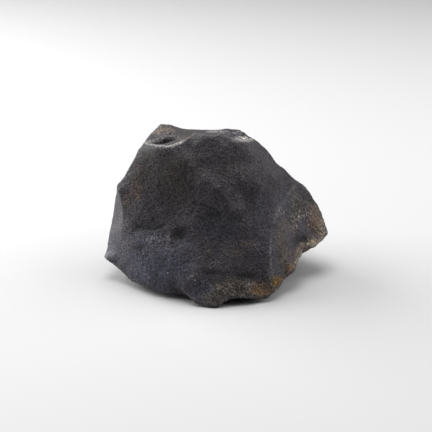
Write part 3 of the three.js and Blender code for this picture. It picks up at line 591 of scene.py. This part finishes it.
# edges: lighter worn stone, and painted light along the bottom edges
kinds["edge"] = np.maximum(ease(curve, 0.10, 0.45), kinds.pop("worn"))
# painted shade: concave places, cracks and pockets, darkened in the finish
kinds["hollow"] = np.maximum(ease(-curve, 0.10, 0.55), painted_recess_shade)
# painted shade: cracks and pockets also take the dark colour
kinds["dark"] = np.maximum(kinds["dark"], painted_recess_shade)
kinds["rough"] = rough

me = bpy.data.meshes.new("stone_surface")
me.from_pydata((v / 1000).tolist(), [], tri.tolist())
me.update()
me.shade_smooth()
for k, w in kinds.items():
    me.attributes.new(k, "FLOAT", "POINT").data.foreach_set("value", w.clip(0, 1).astype(np.float32))
stone = bpy.data.objects.new("stone_surface", me)
bpy.context.scene.collection.objects.link(stone)


# ---------------------------------------------------------------- finish
def make_finish():
    mat = bpy.data.materials.new("meteorite_stone")
    mat.use_nodes = True
    tree = mat.node_tree
    shader = tree.nodes["Principled BSDF"]
    place = tree.nodes.new("ShaderNodeTexCoord").outputs["Object"]

    def node(kind, **sockets):
        x = tree.nodes.new(kind)
        for k, value in sockets.items():
            link(value, x.inputs[k.replace("_", " ")])
        return x

    def link(value, socket):
        if isinstance(value, bpy.types.NodeSocket):
            tree.links.new(value, socket)
        else:
            socket.default_value = value

    def mask(name):
        x = tree.nodes.new("ShaderNodeAttribute")
        x.attribute_name = name
        return x.outputs["Fac"]

    def math_(op, a, b=0.0, clamp=False):
        x = tree.nodes.new("ShaderNodeMath")
        x.operation, x.use_clamp = op, clamp
        link(a, x.inputs[0])
        link(b, x.inputs[1])
        return x.outputs[0]

    def noise(size_mm, detail, rough_=0.6):
        x = node("ShaderNodeTexNoise", Vector=place, Scale=1000.0 / size_mm, Detail=detail, Roughness=rough_)
        return x.outputs["Fac"]

    def step(value, low, high, to_low=0.0, to_high=1.0):
        x = tree.nodes.new("ShaderNodeMapRange")
        x.interpolation_type = "SMOOTHSTEP"
        link(value, x.inputs["Value"])
        for k, q in zip(("From Min", "From Max", "To Min", "To Max"), (low, high, to_low, to_high)):
            x.inputs[k].default_value = q
        return x.outputs["Result"]

    def mix(factor, a, b, how="MIX"):
        x = tree.nodes.new("ShaderNodeMix")
        x.data_type, x.blend_type, x.clamp_factor = "RGBA", how, True
        link(factor, x.inputs[0])
        link(a, x.inputs[6])
        link(b, x.inputs[7])
        return x.outputs[2]

    fine_n = noise(0.9, 3.0)
    mid_n = noise(3.2, 4.0)
    wide_n = noise(14.0, 4.0)

    # crust: nearly black, a little purple, mottled
    colour = mix(step(wide_n, 0.35, 0.65), (0.028, 0.024, 0.029, 1), (0.039, 0.035, 0.041, 1))
    colour = mix(math_("MULTIPLY", mask("brown"), step(mid_n, 0.25, 0.6)), colour, (0.039, 0.031, 0.028, 1))
    colour = mix(math_("MULTIPLY", mask("blue"), step(mid_n, 0.2, 0.65, 0.55, 1.0)), colour, (0.047, 0.047, 0.068, 1))
    colour = mix(math_("MULTIPLY", mask("rust"), step(fine_n, 0.3, 0.62)), colour, (0.125, 0.078, 0.052, 1))
    colour = mix(math_("MULTIPLY", mask("tan"), step(fine_n, 0.28, 0.6)), colour, (0.24, 0.186, 0.122, 1))
    colour = mix(math_("MULTIPLY", mask("orange"), step(noise(1.6, 2.0), 0.30, 0.52, 0.15, 1.0)), colour, (0.136, 0.065, 0.005, 1))
    colour = mix(math_("MULTIPLY", mask("pale"), step(fine_n, 0.25, 0.6)), colour, (0.42, 0.4, 0.375, 1))
    # worn edges show lighter stone
    # edges show lighter worn stone; along the bottom edges this is partly painted light against the shade of the floor
    # contact
    colour = mix(math_("MULTIPLY", mask("edge"), step(fine_n, 0.35, 0.7, 0.05, 0.5)), colour, (0.13, 0.125, 0.125, 1))
    # pale grains in the broken faces
    specks = node("ShaderNodeTexVoronoi", Vector=place, Scale=1000.0 / 0.95)
    rare = math_("SUBTRACT", 0.68, math_("MULTIPLY", mask("speck"), 0.3))
    keep = math_("GREATER_THAN", node("ShaderNodeSeparateColor", Color=specks.outputs["Color"]).outputs[0], rare)
    spot = math_("MULTIPLY", step(specks.outputs["Distance"], 0.40, 0.17), keep)
    grains = math_("MAXIMUM", step(mask("rough"), 0.4, 1.0, 0.05, 0.16), mask("speck"))
    colour = mix(math_("MULTIPLY", spot, grains), colour, (0.36, 0.34, 0.31, 1))
    # painted shade: hollows, cracks and pockets are darkened in the colour
    colour = mix(math_("MULTIPLY", mask("hollow"), 0.65), colour, (0.018, 0.017, 0.018, 1))
    # dark patches: partly dark stains, partly painted shade in the pit, under the brow and lip, below the top rim and
    # in the hollows
    colour = mix(math_("MULTIPLY", mask("dark"), 0.9), colour, (0.018, 0.017, 0.018, 1))
    # fine mottling all over
    speckle = step(noise(0.55, 2.0, 0.75), 0.32, 0.68, 0.25, 1.80)
    colour = mix(1.0, colour, node("ShaderNodeCombineColor", Red=speckle, Green=speckle, Blue=speckle).outputs[0], "MULTIPLY")
    # broken faces are more mottled
    coarse = step(noise(1.1, 3.0, 0.7), 0.34, 0.66, 0.34, 1.70)
    coarse = math_("ADD", 1.0, math_("MULTIPLY", step(mask("rough"), 0.35, 0.9, 0.12, 1.0), math_("SUBTRACT", coarse, 1.0)))
    colour = mix(1.0, colour, node("ShaderNodeCombineColor", Red=coarse, Green=coarse, Blue=coarse).outputs[0], "MULTIPLY")
    tree.links.new(colour, shader.inputs["Base Color"])
    tree.links.new(step(mid_n, 0.25, 0.75, 0.50, 0.72), shader.inputs["Roughness"])
    shader.inputs["Specular IOR Level"].default_value = 0.25

    # grain too fine for the mesh
    pits = node("ShaderNodeTexVoronoi", Vector=place, Scale=1000.0 / 0.7).outputs["Distance"]
    height = math_("ADD", math_("MULTIPLY", noise(0.55, 3.0), 0.7), math_("MULTIPLY", pits, 0.5))
    bump = node("ShaderNodeBump", Height=height, Strength=0.8, Distance=0.0003)
    tree.links.new(bump.outputs["Normal"], shader.inputs["Normal"])
    return mat


me.materials.append(make_finish())
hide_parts("meteorite")
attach(stone, "root")


# ---------------------------------------------------------------- studio
scene = bpy.context.scene
scene.view_settings.view_transform = "Standard"
scene.view_settings.look = "None"

world = bpy.data.worlds.new("surround")
scene.world = world
world.use_nodes = True
world.node_tree.nodes["Background"].inputs["Color"].default_value = (1.0, 1.0, 1.0, 1.0)
world.node_tree.nodes["Background"].inputs["Strength"].default_value = 0.03


def plain(name, colour, roughness):
    mat = bpy.data.materials.new(name)
    mat.use_nodes = True
    mat.node_tree.nodes["Principled BSDF"].inputs["Base Color"].default_value = (*colour, 1)
    mat.node_tree.nodes["Principled BSDF"].inputs["Roughness"].default_value = roughness
    return mat


side = 3.0
ground = bpy.data.meshes.new("floor")
ground.from_pydata([(-side, -side, 0), (side, -side, 0), (side, side, 0), (-side, side, 0)], [], [(0, 1, 2, 3)])
ground.materials.append(plain("floor_plain", (0.45, 0.45, 0.45), 0.9))
floor = bpy.data.objects.new("floor", ground)
scene.collection.objects.link(floor)


def softbox(name, place, aim, size, watts):
    data = bpy.data.lights.new(name, "AREA")
    data.shape, data.size, data.size_y, data.energy = "RECTANGLE", size[0], size[1], watts
    lamp = bpy.data.objects.new(name, data)
    scene.collection.objects.link(lamp)
    lamp.location = place
    lamp.rotation_mode = "QUATERNION"
    lamp.rotation_quaternion = (Vector(aim) - Vector(place)).to_track_quat("-Z", "Y")
    lamp.visible_camera = False


MIDDLE = (0.0, 0.0, 0.024)
softbox("top", (-0.05, 0.11, 0.61), MIDDLE, (0.47, 0.47), 4.3)
softbox("left", (-0.50, 0.22, 0.26), MIDDLE, (0.6, 0.6), 7.9)
softbox("right", (0.50, 0.08, 0.37), MIDDLE, (0.6, 0.6), 3.3)

# camera: straight at the front, looking down by the lean of the front
camera = bpy.data.cameras.new("camera")
camera.sensor_width = 36.0
camera.lens = 100.0
camera.clip_start, camera.clip_end = 0.01, 20.0
eye = bpy.data.objects.new("camera", camera)
scene.collection.objects.link(eye)
target = Vector((-0.075, -6.5, 23.9)) / 1000
eye.location = target + Vector(OUT) * 0.418
eye.rotation_mode = "QUATERNION"
eye.rotation_quaternion = (-Vector(OUT)).to_track_quat("-Z", "Y")
scene.camera = eye
